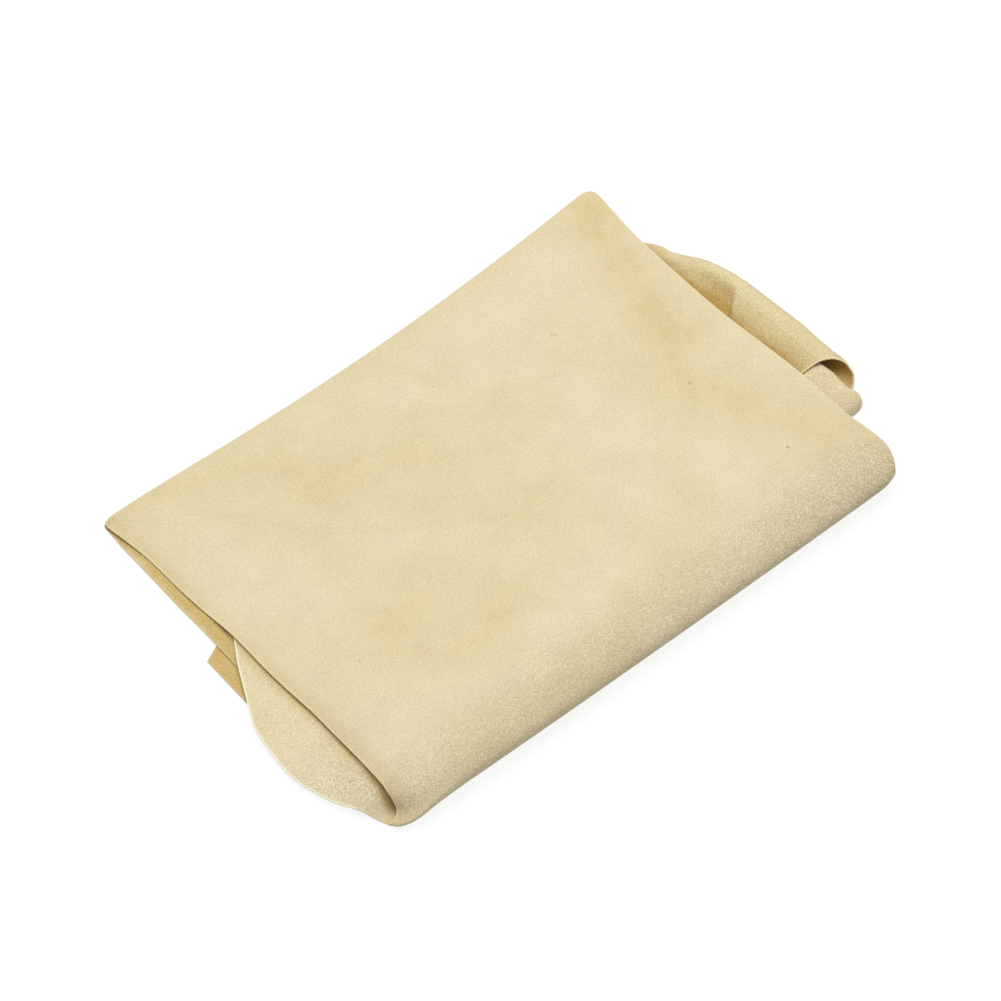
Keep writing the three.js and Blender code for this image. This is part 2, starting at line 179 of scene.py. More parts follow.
def leather(name, grids, points, flats, seams, flesh_oil_and_shade=0, grain_oil_and_shade=0, raised=0):
    """A closed sheet of leather around a middle surface.

    grids are arrays of point numbers, points their places, flats where each was on the flat hide.
    seams marks the points on a border where the hide goes on in the next piece.
    Where the hide is oily, and where shade is painted into it, the colour is deeper,
    and where the hide bends or was rubbed its nap is raised.
    its nap is raised.
    """
    places, flats = points.reshape(-1, 3), flats.reshape(-1, 2)
    count, tiny = len(places), 1e-12
    quads = np.concatenate([
        np.stack([g[:-1, :-1], g[:-1, 1:], g[1:, 1:], g[1:, :-1]], -1).reshape(-1, 4)
        for g in grids
    ])
    a, b, c, d = (places[quads[:, k]] for k in range(4))
    facing = np.cross(c - a, d - b)
    normals = np.zeros((count, 3))
    for k in range(4):
        np.add.at(normals, quads[:, k], facing)
    normals /= np.linalg.norm(normals, axis=1)[:, None] + tiny
    facing /= np.linalg.norm(facing, axis=1)[:, None] + tiny

    starts, ends = quads.ravel(), np.roll(quads, -1, axis=1).ravel()
    border = ~np.isin(starts * count + ends, ends * count + starts)
    face_of = np.repeat(np.arange(len(quads)), 4)[border]
    starts, ends = starts[border], ends[border]
    is_seam = seams[starts] & seams[ends]
    outward = np.cross(places[ends] - places[starts], facing[face_of])
    out = np.zeros((count, 3))
    for some in (starts, ends):
        np.add.at(out, some[~is_seam], outward[~is_seam])
    out /= np.linalg.norm(out, axis=1)[:, None] + tiny

    # a rounded cut edge: out and up, in half thicknesses
    rim_profile = ((0.34, 0.84), (0.5, 0.3), (0.46, -0.35), (0.3, -0.86))
    rim_points = np.unique(np.concatenate([starts[~is_seam], ends[~is_seam]]))
    rim_row = np.full(count, -1)
    rim_row[rim_points] = np.arange(len(rim_points))
    from_cut = KDTree(len(rim_points))
    for k, point in enumerate(rim_points):
        from_cut.insert(places[point], k)
    from_cut.balance()
    reach = np.array([from_cut.find(p)[2] for p in places])
    half = SKIN * mix(EDGE_THICKNESS, 1, ease(reach, 0, EDGE_TAPER))[:, None]
    parts = [places + normals * half, places - normals * half]
    for o, u in rim_profile:
        past_edge = out[rim_points] * o + normals[rim_points] * u
        parts.append(places[rim_points] + past_edge * half[rim_points])
    flesh, grain = np.arange(count), np.arange(count) + count

    def ring(point):
        first = 2 * count + rim_row[point]
        round_edge = (first + k * len(rim_points) for k in range(len(rim_profile)))
        return [flesh[point], *round_edge, grain[point]]

    faces = [*quads.tolist(), *(quads[:, ::-1] + count).tolist()]
    opens, closes = {}, {}
    for s, e, seam in zip(starts.tolist(), ends.tolist(), is_seam.tolist()):
        opens[s], closes[e] = seam, seam
        if seam:
            faces.append([flesh[e], flesh[s], grain[s], grain[e]])
            continue
        rs, re = ring(s), ring(e)
        faces.extend([re[k], rs[k], rs[k + 1], re[k + 1]] for k in range(len(rs) - 1))
    for point, seam in opens.items():
        if seam and not closes[point]:
            faces.append(ring(point))
        elif closes[point] and not seam:
            faces.append(ring(point)[::-1])

    mesh = bpy.data.meshes.new(name)
    mesh.from_pydata(np.concatenate(parts).tolist(), [], faces)
    mesh.shade_smooth()

    def at_height(flat_points, height):
        return np.column_stack([flat_points, np.full(len(flat_points), height)])

    rims = len(rim_points) * len(rim_profile)
    flat = np.concatenate([
        at_height(flats, SKIN), at_height(flats, -SKIN),
        *(at_height(flats[rim_points], u * SKIN) for o, u in rim_profile),
    ])
    flesh_oil_and_shade, grain_oil_and_shade, raised = (
        np.broadcast_to(np.ravel(v), count) for v in (flesh_oil_and_shade, grain_oil_and_shade, raised)
    )
    rim_oil_and_shade = np.tile(grain_oil_and_shade[rim_points], len(rim_profile))
    values = {
        "cut": np.concatenate([reach, reach, np.zeros(rims)]),
        "flesh": np.concatenate([np.ones(count), np.zeros(count), np.full(rims, 0.5)]),
        "oil_and_shade": np.concatenate([flesh_oil_and_shade, grain_oil_and_shade, rim_oil_and_shade]),
        "raised": np.concatenate([raised, raised, np.tile(raised[rim_points], len(rim_profile))]),
    }
    hide_places = mesh.attributes.new("hide", "FLOAT_VECTOR", "POINT")
    hide_places.data.foreach_set("vector", flat.astype(np.float32).ravel())
    for key, value in values.items():
        marks = mesh.attributes.new(key, "FLOAT", "POINT")
        marks.data.foreach_set("value", value.astype(np.float32))
    on_seam = np.concatenate([seams, seams, np.zeros(rims, bool)])
    edges = np.zeros(2 * len(mesh.edges), np.int32)
    mesh.edges.foreach_get("vertices", edges)
    sharp = on_seam[edges].reshape(-1, 2).all(axis=1)
    mesh.attributes.new("sharp_edge", "BOOLEAN", "EDGE").data.foreach_set("value", sharp)
    piece = bpy.data.objects.new(name, mesh)
    bpy.context.scene.collection.objects.link(piece)
    return piece


def linear(red, green, blue):
    """A colour as it is seen on a screen, from 0 to 255, in the renderer's own measure."""
    share = np.array([red, green, blue]) / 255
    return (*np.where(share <= 0.04045, share / 12.92, ((share + 0.055) / 1.055) ** 2.4), 1)


CLOUDS_PER_METRE = 17
BLOTCHES_PER_METRE = 60
OIL_PATCHES_PER_METRE = 45
NAP_PER_METRE = 1500
STRANDS_PER_METRE = 1150
NAP_STRETCH = (1, 0.85, 1)
STRAND_WIDTH = 0.13
STRAND_SHADE = 0.3
BLOTCH_SHADE = 0.03
NAP_SHADE = 0.43  # how far the nap lightens and darkens the colour
PIT_COLOUR = (0.92, 1, 1.18)  # its pits are browner than its tips: powers for red, green, blue
RAISED_SHADE = 0.06  # raised nap shades itself; on the front roll this darkening is also painted shade where the roll turns from the lamp
SPECK_CORE = 0.3  # share of a pore that is darkest
RIM_BAND = (0.0002, 0.0011)  # the cut edge is paler out to here
NAP_RELIEF = 0.0004
NAP_RELIEF_STRENGTH = 0.4
ROUGHNESS = 0.95  # a dry nap scatters the light and hardly shines
GLOSS = 0.12
FUZZ = 0.8  # loose fibres catch the light where the hide turns away
FUZZ_ROUGHNESS = 0.36
FUZZ_COLOUR = linear(255, 244, 218)


def suede(
    name, grain_colour, flesh_colour, deep_colour, rim_colour,
    flesh_deep=None, cloud=0.2, rim=0.5, specks=(),
):
    """Brushed chamois: clouded colour, paler cut edges, and a fine nap.

    The nap opens into short strands where it is raised.
    """
    material = bpy.data.materials.new(name)
    material.use_nodes = True
    nodes, links = material.node_tree.nodes, material.node_tree.links
    shader = nodes["Principled BSDF"]
    shader.inputs["Roughness"].default_value = ROUGHNESS
    shader.inputs["Specular IOR Level"].default_value = GLOSS
    shader.inputs["Sheen Weight"].default_value = FUZZ
    shader.inputs["Sheen Roughness"].default_value = FUZZ_ROUGHNESS
    shader.inputs["Sheen Tint"].default_value = FUZZ_COLOUR

    def feed(socket, value):
        if isinstance(value, (int, float, tuple)):
            socket.default_value = value
        else:
            links.new(value, socket)

    def attribute(key, output):
        node = nodes.new("ShaderNodeAttribute")
        node.attribute_name = key
        return node.outputs[output]

    def noise(scale, detail, roughness, stretch=(1, 1, 1)):
        mapping = nodes.new("ShaderNodeMapping")
        mapping.inputs["Scale"].default_value = stretch
        links.new(place, mapping.inputs["Vector"])
        node = nodes.new("ShaderNodeTexNoise")
        node.inputs["Scale"].default_value = scale
        node.inputs["Detail"].default_value = detail
        node.inputs["Roughness"].default_value = roughness
        links.new(mapping.outputs["Vector"], node.inputs["Vector"])
        return node.outputs["Fac"]

    def spread(value, low, high, to_low, to_high, smooth=True):
        node = nodes.new("ShaderNodeMapRange")
        node.interpolation_type = "SMOOTHSTEP" if smooth else "LINEAR"
        links.new(value, node.inputs["Value"])
        limits = ("From Min", "From Max", "To Min", "To Max")
        for key, number in zip(limits, (low, high, to_low, to_high)):
            node.inputs[key].default_value = number
        return node.outputs["Result"]

    def combine(operation, first, second):
        node = nodes.new("ShaderNodeMath")
        node.operation = operation
        feed(node.inputs[0], first)
        feed(node.inputs[1], second)
        return node.outputs["Value"]

    def blend(kind, factor, first, second):
        node = nodes.new("ShaderNodeMix")
        node.data_type = "RGBA"
        node.blend_type = kind
        node.clamp_result = False
        for k, value in ((0, factor), (6, first), (7, second)):  # its factor and colour sockets
            feed(node.inputs[k], value)
        return node.outputs[2]

    place = attribute("hide", "Vector")
    flesh = attribute("flesh", "Fac")
    raised = attribute("raised", "Fac")
    clouds = spread(noise(CLOUDS_PER_METRE, 4, 0.55), 0.42, 0.66, 0, cloud)
    blotches = noise(BLOTCHES_PER_METRE, 4, 0.6)
    blotches = spread(blotches, 0.35, 0.7, -BLOTCH_SHADE, BLOTCH_SHADE, smooth=False)
    oil_patches = spread(noise(OIL_PATCHES_PER_METRE, 3, 0.6), 0.3, 0.7, 0.65, 1.3, smooth=False)
    fine_nap = combine("SUBTRACT", noise(NAP_PER_METRE, 1, 0.5, NAP_STRETCH), 0.5)
    strand_lines = combine("SUBTRACT", noise(STRANDS_PER_METRE, 1, 0.5), 0.5)
    strand_lines = combine("ABSOLUTE", strand_lines, 0)
    strands = spread(strand_lines, 0, STRAND_WIDTH, STRAND_SHADE, -STRAND_SHADE)
    tufts = combine("ADD", fine_nap, combine("MULTIPLY", strands, raised))

    colour = blend("MIX", flesh, grain_colour, flesh_colour)
    # the oil attribute also carries painted shade: under cut edges, in the hollows of folds and
    # hooks, and in the dent
    uneven_oil_and_shade = combine("MULTIPLY", attribute("oil_and_shade", "Fac"), oil_patches)
    deep = combine("MAXIMUM", combine("MINIMUM", combine("ADD", clouds, uneven_oil_and_shade), 1), 0)
    both_deep = blend("MIX", flesh, deep_colour, flesh_deep or deep_colour)
    colour = blend("MIX", deep, colour, both_deep)
    shade = combine("ADD", combine("ADD", combine("MULTIPLY", tufts, NAP_SHADE), blotches), 1)
    # raised nap darkens the colour: partly the nap's own look, partly painted shade on the front
    # roll
    shade = combine("SUBTRACT", shade, combine("MULTIPLY", raised, RAISED_SHADE))
    for x, y, radius, depth in specks:
        from_speck = nodes.new("ShaderNodeVectorMath")
        from_speck.operation = "DISTANCE"
        flat_place = nodes.new("ShaderNodeVectorMath")
        flat_place.operation = "MULTIPLY"
        where = nodes.new("ShaderNodeTexCoord")
        links.new(where.outputs["Object"], flat_place.inputs[0])
        flat_place.inputs[1].default_value = (1, 1, 0)
        links.new(flat_place.outputs["Vector"], from_speck.inputs[0])
        from_speck.inputs[1].default_value = (x, y, 0)
        dark = spread(from_speck.outputs["Value"], SPECK_CORE * radius, radius, depth, 0)
        shade = combine("SUBTRACT", shade, dark)
    tone = nodes.new("ShaderNodeCombineColor")
    for socket, power in zip(tone.inputs, PIT_COLOUR):
        links.new(combine("POWER", shade, power), socket)
    colour = blend("MULTIPLY", 1.0, colour, tone.outputs["Color"])
    at_rim = spread(attribute("cut", "Fac"), *RIM_BAND, rim, 0)
    colour = blend("MIX", at_rim, colour, rim_colour)
    links.new(colour, shader.inputs["Base Color"])

    relief = nodes.new("ShaderNodeBump")
    relief.inputs["Strength"].default_value = NAP_RELIEF_STRENGTH
    relief.inputs["Distance"].default_value = NAP_RELIEF
    links.new(tufts, relief.inputs["Height"])
    links.new(relief.outputs["Normal"], shader.inputs["Normal"])
    return material


def lower_painted_shade(x, y):
    """Painted shade of the lower layers under the top panel's overhang: deepest at their left side
    and pale further in.
    """
    return LEFT_PAINTED_SHADE * (1 - ease(x, along(SHADE_FADES_X, y), along(SHADE_GONE_X, y)))


def bottom_z(y):
    """Middle of the bottom leaf, which lies on the tail at the front and on the floor behind it."""
    return mix(SKIN + LAYER, SKIN, ease(y, TAIL_END_Y + LAYER, TAIL_END_Y + LAYER + STEP_LENGTH))


leaf_across = shares(88)
step_across = np.linspace(0, 1, 17)[1:]
down_leaf = np.concatenate([
    [0, 0.0008, 0.0025, 0.005, 0.008, 0.012, 0.017, 0.023, 0.03, 0.038, 0.047, 0.057, 0.068, 0.08],
    np.linspace(0.094, 1, 62),
])[:, None]  # from the front of the leaf to the back crease, closer together at the front
leaf_x = np.concatenate([
    mix(BOTTOM_LEFT, TUCK_END_X, leaf_across), mix(TUCK_END_X, MARGIN_X, step_across),
])
leaf_front = mix(TUCK_Y, NOSE_END_Y, ease(leaf_x, TUCK_END_X, MARGIN_X))
leaf_y = mix(leaf_front, crease_y(leaf_x) - CREASE_MARGIN, down_leaf)
leaf_z = bottom_z(leaf_y)
edge_settles = mix(EDGE_SETTLES, EDGE_SETTLES_ON_TAIL, (leaf_z - SKIN) / LAYER)
leaf_z = leaf_z - edge_settles * (1 - ease(leaf_x, BOTTOM_LEFT, BOTTOM_LEFT + EDGE_TAPER))
leaf = placed(leaf_x, leaf_y, leaf_z)

tail_share = np.concatenate([[0, 0.004, 0.012], np.linspace(0.03, 1, 42)])[:, None]
tail_slant = mix(TAIL_LEFT, TUCK_END_X, leaf_across) - TAIL_LEFT
tail_slant = np.clip(tail_slant, 0, TAIL_CORNER_LENGTH) / TAIL_CORNER_LENGTH
tail_rear = mix(TAIL_CORNER_Y, TAIL_END_Y, np.sin(math.pi / 2 * tail_slant))
tail_y = mix(tail_rear, TUCK_Y, tail_share)
tail_left = mix(BOTTOM_LEFT, TAIL_LEFT, ease(tail_y, TUCK_Y, TUCK_Y + TAIL_CORNER_LENGTH))
tail = placed(mix(tail_left, TUCK_END_X, leaf_across), tail_y, SKIN)
tuck_turn = np.linspace(-math.pi / 2, math.pi / 2, 9)[1:-1, None]
tuck = placed(
    mix(BOTTOM_LEFT, TUCK_END_X, leaf_across),
    TUCK_Y - TUCK_RADIUS * np.cos(tuck_turn), SKIN + TUCK_RADIUS * (1 + np.sin(tuck_turn)),
)
under = np.concatenate([tail, tuck])
under_length = row_lengths(np.concatenate([under, leaf[:1, :len(leaf_across)]]))
under_flat = np.stack([under[..., 0], TUCK_Y - (under_length[-1] - under_length[:-1])], -1)
under_grid, under_seams = numbered(under)
leaf_grid, leaf_seams = numbered(leaf, LAST_ROW, LAST_COLUMN)
leaf_grid = leaf_grid + under_grid.size
lower_points = np.concatenate([under.reshape(-1, 3), leaf.reshape(-1, 3)])
lower_flat = np.concatenate([under_flat.reshape(-1, 2), leaf[..., :2].reshape(-1, 2)])
from_left = np.concatenate([(x - left).ravel() for x, left in (
    (tail[..., 0], tail_left), (tuck[..., 0], BOTTOM_LEFT), (leaf[..., 0], BOTTOM_LEFT),
)])
shade_by_edge = mix(EDGE_SHADE_SHARE, 1, ease(from_left, 0, EDGE_SHADE_WIDTH))
lower = leather(
    "lower_layers", [np.vstack([under_grid, leaf_grid[:1, :len(leaf_across)]]), leaf_grid],
    lower_points, lower_flat, np.concatenate([under_seams, leaf_seams]),
    flesh_oil_and_shade=lower_painted_shade(lower_points[:, 0], lower_points[:, 1]) * shade_by_edge,
    raised=STRIP_RAISED * (1 - ease(lower_points[:, 0], *STRIP_SETTLES_X)),
)
# shaded copies of the hide's colours: this grain, its deep colour and the golden flesh stand in for
# painted shade under the overhang
SHADED_LOWER_GRAIN = linear(216, 189, 124)
LOWER_DEEP = linear(202, 171, 104)
PALE_FLESH = linear(238, 223, 187)
GOLDEN_FLESH = linear(217, 190, 126)
LOWER_RIM = linear(224, 203, 150)
lower.data.materials.append(suede(
    "lower_layer_suede", SHADED_LOWER_GRAIN, PALE_FLESH, LOWER_DEEP, LOWER_RIM,
    flesh_deep=GOLDEN_FLESH, cloud=0.12,
))
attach(lower, "base")
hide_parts("tail_leaf", "tuck_fold", "bottom_leaf")

# Side margin: the right edge of the bottom leaf, pushed up into a soft ripple with a rounded
# front end. The same sheet, flesh side up. Its steep side runs down into the fold beside it.
TOP_RIGHT_INSET = (  # right edge of the pack, in from its nominal side
    (0, 0.0018), (0.004, -0.0004), (0.01, -0.0015), (0.02, -0.0008), (0.033, 0.0001), (0.063, 0),
    (0.12, 0.0023), (0.164, 0.0009), (0.183, -0.0011), (0.197, -0.0026),
)
NOSE_START_Y = -0.0558  # from here on its end is rounded
NOSE_BULGE = 0.0018
NOSE_BULGE_LENGTH = 0.005
NOSE_LENGTH = 0.012
NOSE_WIDTH = 0.007
RIPPLE_HEIGHT = 0.0066
RIPPLE_FALL = 0.0045
RIPPLE_FALL_AT_NOSE = 0.0024
RIPPLE_WIDENS_Y = (-0.056, -0.038)
RIPPLE_FADE_Y = -0.03
RIPPLE_END_Y = 0.015
FOLD_RAISED = 0.9
MARGIN_NAP_WIDTH = 0.012  # the nap comes up over this width
FOOT_PAINTED_SHADE = 0.75  # painted shade where the ripple runs down into the hollow of the fold
FOLD_FOOT_Y = -0.0525
FOLD_REAR_Y = 0.068
FOLD_RUNOUT = 0.012
FOLD_REACH = (  # how far the fold stands out of the pack, by the distance from the front
    (0.04, 0.0222), (0.051, 0.0226), (0.058, 0.0239), (0.066, 0.0232), (0.076, 0.0228),
    (0.086, 0.0227), (0.098, 0.0218), (0.1215, 0.0198), (0.138, 0.0156), (0.1475, 0.01),
    (0.1525, 0.0072), (0.1585, 0.0056), (0.168, -0.001),
)
FOLD_HEIGHT = ((0.04, 0.0106), (0.08, 0.0108), (0.12, 0.0086), (0.15, 0.0056), (0.168, 0.0042))


def top_right(y):
    return RIGHT_SIDE - along(TOP_RIGHT_INSET, y - FRONT)


def fold_radius(y):
    return (along(FOLD_HEIGHT, y - FRONT) - LEATHER) / 2


def fold_x(y):
    """Line on the floor where the side fold begins to turn up."""
    return RIGHT_SIDE + along(FOLD_REACH, y - FRONT) - SKIN - fold_radius(y)


margin_across = np.sin(np.linspace(0, 1, 34) * math.pi / 2)
margin_rear = crease_y(mix(MARGIN_X, top_right(BACK), margin_across)) - CREASE_MARGIN
margin_y = mix(NOSE_END_Y, margin_rear, down_leaf)
nose_round = np.clip((NOSE_START_Y - margin_y) / (NOSE_START_Y - NOSE_END_Y), 0, 1)
margin_right = fold_x(np.clip(margin_y, FOLD_FOOT_Y, FOLD_REAR_Y))
margin_right = margin_right - NOSE_WIDTH * (1 - np.sqrt(1 - nose_round**2))
margin_right = margin_right + NOSE_BULGE * ease(FOLD_FOOT_Y - margin_y, 0, NOSE_BULGE_LENGTH)
past_fold = ease(margin_y, FOLD_REAR_Y, FOLD_REAR_Y + FOLD_RUNOUT)
margin_right = mix(margin_right, top_right(margin_y), past_fold)
margin_x = mix(MARGIN_X, margin_right, margin_across)
ripple_fall = mix(RIPPLE_FALL_AT_NOSE, RIPPLE_FALL, ease(margin_y, *RIPPLE_WIDENS_Y))
ripple_crest = margin_right - ripple_fall
nose_fall = np.clip((NOSE_END_Y + NOSE_LENGTH - margin_y) / NOSE_LENGTH, 0, 1)
ripple_rise = RIPPLE_HEIGHT * np.sqrt(1 - nose_fall**2)
ripple_rise = ripple_rise * (1 - ease(margin_y, RIPPLE_FADE_Y, RIPPLE_END_Y))
ripple_up = ease(margin_x, MARGIN_X, ripple_crest)
margin_z = mix(bottom_z(margin_y), SKIN, ripple_up)
margin_z += ripple_rise * ripple_up * (1 - ease(margin_x, ripple_crest, margin_right))
margin_points = placed(margin_x, margin_y, margin_z)
margin_flat = np.stack([
    MARGIN_X + row_lengths(margin_points.transpose(1, 0, 2)).T,
    NOSE_END_Y + row_lengths(margin_points),
], -1)
beside_fold = (margin_y[:, -1] >= FOLD_FOOT_Y) & (margin_y[:, -1] <= FOLD_REAR_Y)
margin_grid, margin_seams = numbered(
    margin_points, LAST_ROW, FIRST_COLUMN, np.s_[beside_fold, -1],
)
foot_painted_shade = FOOT_PAINTED_SHADE * ease(margin_x, ripple_crest, margin_right)
margin = leather(
    "side_margin_hide", [margin_grid], margin_points, margin_flat, margin_seams,
    flesh_oil_and_shade=foot_painted_shade * ease(margin_y, NOSE_END_Y, FOLD_FOOT_Y),
    raised=FOLD_RAISED * ease(margin_x, MARGIN_X, MARGIN_X + MARGIN_NAP_WIDTH),
)
GRAIN = linear(232, 218, 182)
NOSE_FLESH = linear(241, 225, 185)
FOLD_DEEP = linear(197, 162, 95)  # deep colour of the painted shade inside the fold, down the flap and in its dent, and of the clouds
PALE_RIM = linear(238, 224, 192)
margin.data.materials.append(
    suede("side_margin_suede", GRAIN, NOSE_FLESH, FOLD_DEEP, PALE_RIM, cloud=0.1),
)
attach(margin, "base")
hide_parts("side_margin")

# Side fold: the right margin of the hide, turned up and over in a soft arch with a cut front rim.
# The same sheet as the lower layers. It springs because nothing has pressed it flat.
FOLD_FRONT = (
    (-90, -0.0525), (-60, -0.0512), (-16, -0.0487), (20, -0.0468), (45, -0.0432), (90, -0.0385),
)  # where the cut rim stands, by the turn of the fold in degrees
FLAP_FRONT = (
    (0, -0.0385), (0.003, -0.0364), (0.008, -0.035), (0.02, -0.0345), (0.04, -0.0345),
)  # the same on the flap, by the distance inward of the crest
FLAP_SEAM = 0.005  # flat stretch of the flap that bends with the fold
FLAP_DROP = (
    (0, 0), (0.004, 0.00045), (0.008, 0.0016), (0.012, 0.0024), (0.018, 0.0036), (0.038, 0.0043),
)  # fall of the flap below its crest, by the distance inward, where the fold is tallest
FOLD_TALLEST = 0.0102
# a diagonal dent, where the hide was pushed aside as the pack was closed
DENT_OUTER = np.array([0.1495, 0.0195])
DENT_INNER = np.array([0.1365, 0.009])
DENT_FLOOR = 0.0031
DENT_SHARE = 0.96
DENT_FOOT = (-0.0004, 0.0008)  # across its steep side
DENT_FLOOR_LENGTH = 0.0025
DENT_LENGTH = 0.03  # behind the dent the flap rises again over this length
DENT_INWARD = (0.0005, 0.009)  # it deepens over this distance from the crest
FLAP_PAINTED_SHADE = 0.5  # painted shade down the flap, in the dent and beside the top panel
FLAP_SHADE_INWARD = (0.001, 0.013)
DENT_PAINTED_SHADE = 0.7
DENT_SHADE_INWARD = (0.001, 0.005)
BESIDE_TOP_SHADE = 0.45
BESIDE_TOP_WIDTH = (0.001, 0.008)
MOST_FLAP_SHADE = 1.3
INNER_TURN = (-90, -30)  # degrees over which the painted shade inside the fold reaches its full depth


def down_fold():
    """Places from the front rim of the fold to its rear end, closer together at the rim."""
    return np.concatenate([[0, 0.004, 0.012], np.linspace(0.02, 1, 130)])[:, None]


def dent(x, y):
    """1 at the foot of the dent, rising again slowly behind it and at once in front of it."""
    line = (DENT_OUTER - DENT_INNER) / np.linalg.norm(DENT_OUTER - DENT_INNER)
    behind = (y - DENT_INNER[1]) * line[0] - (x - DENT_INNER[0]) * line[1]
    return ease(behind, *DENT_FOOT) * (1 - ease(behind, DENT_FLOOR_LENGTH, DENT_LENGTH))


def fold_place(turn_deg, inward, down):
    """A point on the fold, or past its crest on the flap, inward of the crest."""
    front = along(FOLD_FRONT, turn_deg)
    front = np.where(inward > 0, along(FLAP_FRONT, inward), front)
    y = mix(front, FOLD_REAR_Y, down)
    radius = fold_radius(y)
    turn = np.radians(turn_deg)
    crest = SKIN + 2 * radius
    x = fold_x(y) + radius * np.cos(turn) - inward
    z = SKIN + radius * (1 + np.sin(turn)) - along(FLAP_DROP, inward) * crest / FOLD_TALLEST
    dented = DENT_SHARE * dent(x, y) * ease(inward, *DENT_INWARD)
    return placed(x, y, mix(z, np.minimum(z, DENT_FLOOR), dented))


def flap_painted_shade(x, y, inward):
    """Painted shade on the flap, deeper towards the top panel and in the dent."""
    beside_top = 1 - ease(x - top_right(y), *BESIDE_TOP_WIDTH)
    in_dent = dent(x, y) * ease(inward, *DENT_SHADE_INWARD)
    oil_and_shade = FLAP_PAINTED_SHADE * ease(inward, *FLAP_SHADE_INWARD) + DENT_PAINTED_SHADE * in_dent
    return np.clip(oil_and_shade + BESIDE_TOP_SHADE * beside_top, 0, MOST_FLAP_SHADE)


arch_turn = np.linspace(-90, 90, 27)
seam_inward = np.linspace(0, FLAP_SEAM, 4)[1:]
fold_turn = np.concatenate([arch_turn, np.full(len(seam_inward), 90.0)])
fold_inward = np.concatenate([np.zeros(len(arch_turn)), seam_inward])
fold_points = fold_place(fold_turn, fold_inward, down_fold())
fold_across = row_lengths(fold_points.transpose(1, 0, 2)).T + fold_x(fold_points[:, :1, 1])
fold_grid, fold_seams = numbered(fold_points, FIRST_COLUMN, LAST_COLUMN)
inner_fold_shade = mix(FOOT_PAINTED_SHADE, 1, ease(fold_turn, *INNER_TURN))
side_fold = leather(
    "side_fold", [fold_grid], fold_points,
    np.stack([fold_across, fold_points[..., 1]], -1), fold_seams,
    flesh_oil_and_shade=np.broadcast_to(inner_fold_shade, fold_across.shape), raised=FOLD_RAISED,
    grain_oil_and_shade=flap_painted_shade(fold_points[..., 0], fold_points[..., 1], fold_inward),
)
FOLD_GRAIN = linear(238, 223, 177)
FLESH = linear(229, 215, 177)
FOLD_RIM = linear(243, 226, 178)
fold_suede = suede(
    "side_fold_suede", FOLD_GRAIN, FLESH, FOLD_DEEP, FOLD_RIM, cloud=0.1, rim=0.8,
)
side_fold.data.materials.append(fold_suede)
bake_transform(side_fold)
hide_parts("side_fold_lower", "side_fold_upper")

# Side flap: the end of that margin, the same soft leather, lying back over the ripple and under
# the top panel. The dent of the fold runs on across it. Its own edge is cut, and out of sight.
FLAP_DEPTH = 0.038
FLAP_REAR_DEPTH = 0.025
FLAP_INSIDE_SHADE = 0.2  # the painted shade of the fold's inside fades out across its underside
FLAP_INSIDE_PALE = 0.02

flap_down = down_fold()
flap_width = mix(FLAP_DEPTH, FLAP_REAR_DEPTH, flap_down) - FLAP_SEAM
flap_inward = FLAP_SEAM + flap_width * np.linspace(0, 1, 31)
flap_points = fold_place(90.0, flap_inward, flap_down)
flap_grid, flap_seams = numbered(flap_points, FIRST_COLUMN)
flap_flat = np.stack([fold_across[:, -1:] + flap_inward - FLAP_SEAM, flap_points[..., 1]], -1)
flap = leather(
    "side_flap_hide", [flap_grid], flap_points, flap_flat, flap_seams,
    flesh_oil_and_shade=mix(1, FLAP_INSIDE_SHADE, ease(flap_inward, FLAP_SEAM, FLAP_INSIDE_PALE)),
    raised=FOLD_RAISED,
    grain_oil_and_shade=flap_painted_shade(flap_points[..., 0], flap_points[..., 1], flap_inward),
)
flap.data.materials.append(fold_suede)
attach(flap, "flap")
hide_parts("side_flap")

# Back crease: the tight fold where the hide comes back over itself, pressed by the weight of the
# pack. One continuous stretch of the sheet, from the bottom leaf round to the top panel.
TOP_LEFT_INSET = (  # left cut edge of the upper hide, in from the pack's nominal side
    (0, 0.004), (0.012, 0.0043), (0.023, 0.0048), (0.03, 0.0052), (0.04, 0.0059),
    (0.052, 0.0061), (0.065, 0.0061), (0.08, 0.0051), (0.094, 0.0044), (0.119, 0.0043),
    (0.135, 0.0034), (0.155, 0.0026), (0.175, 0.0017), (0.197, -0.002),
)
LEFT_EDGE_HEIGHT = (  # this edge hangs down onto the tongue and the bottom leaf
    (0.0225, 0.0106), (0.0265, 0.0103), (0.032, 0.0094), (0.04, 0.0077), (0.052, 0.0065),
    (0.065, 0.006), (0.09, 0.0058), (0.11, 0.0056), (0.122, 0.0048), (0.135, 0.003),
    (0.15, 0.0018), (0.17, 0.0017), (0.178, 0.0019), (0.185, 0.00243), (0.192, 0.003),
    (0.198, 0.0038),
)
LEFT_EDGE_WIDTH = 0.036
HANG_CURVE = 2.2
FRONT_SKEW = 0.0032 / 0.268
ROLL_NOSE_Z = 0.0105
ROLL_RISE = 0.00795
ROLL_UPPER_REACH = 0.019
ROLL_CREST = math.radians(100.5)
NOSE_Y = FRONT + SKIN
ROLL_END_Y = NOSE_Y + ROLL_UPPER_REACH * (1 - math.cos(ROLL_CREST))
ROLL_END_Z = ROLL_NOSE_Z + ROLL_RISE * math.sin(ROLL_CREST)
TOP_SLOPE = math.radians(4.7)
TOP_SAG = 0.0045
SAG_WIDTH = 0.17
SAG_BACK = 0.2  # shares of the panel's depth over which the sag begins and ends
SAG_FRONT = 0.3
HOLLOW_DEPTH = 0.0011  # shallow trough inside the right edge, which the flap below holds up
HOLLOW_X = 0.117
HOLLOW_Y = 0.02
HOLLOW_LEAN = 0.08
HOLLOW_WIDTH = 0.011
HOLLOW_STARTS_Y = (-0.085, -0.03)
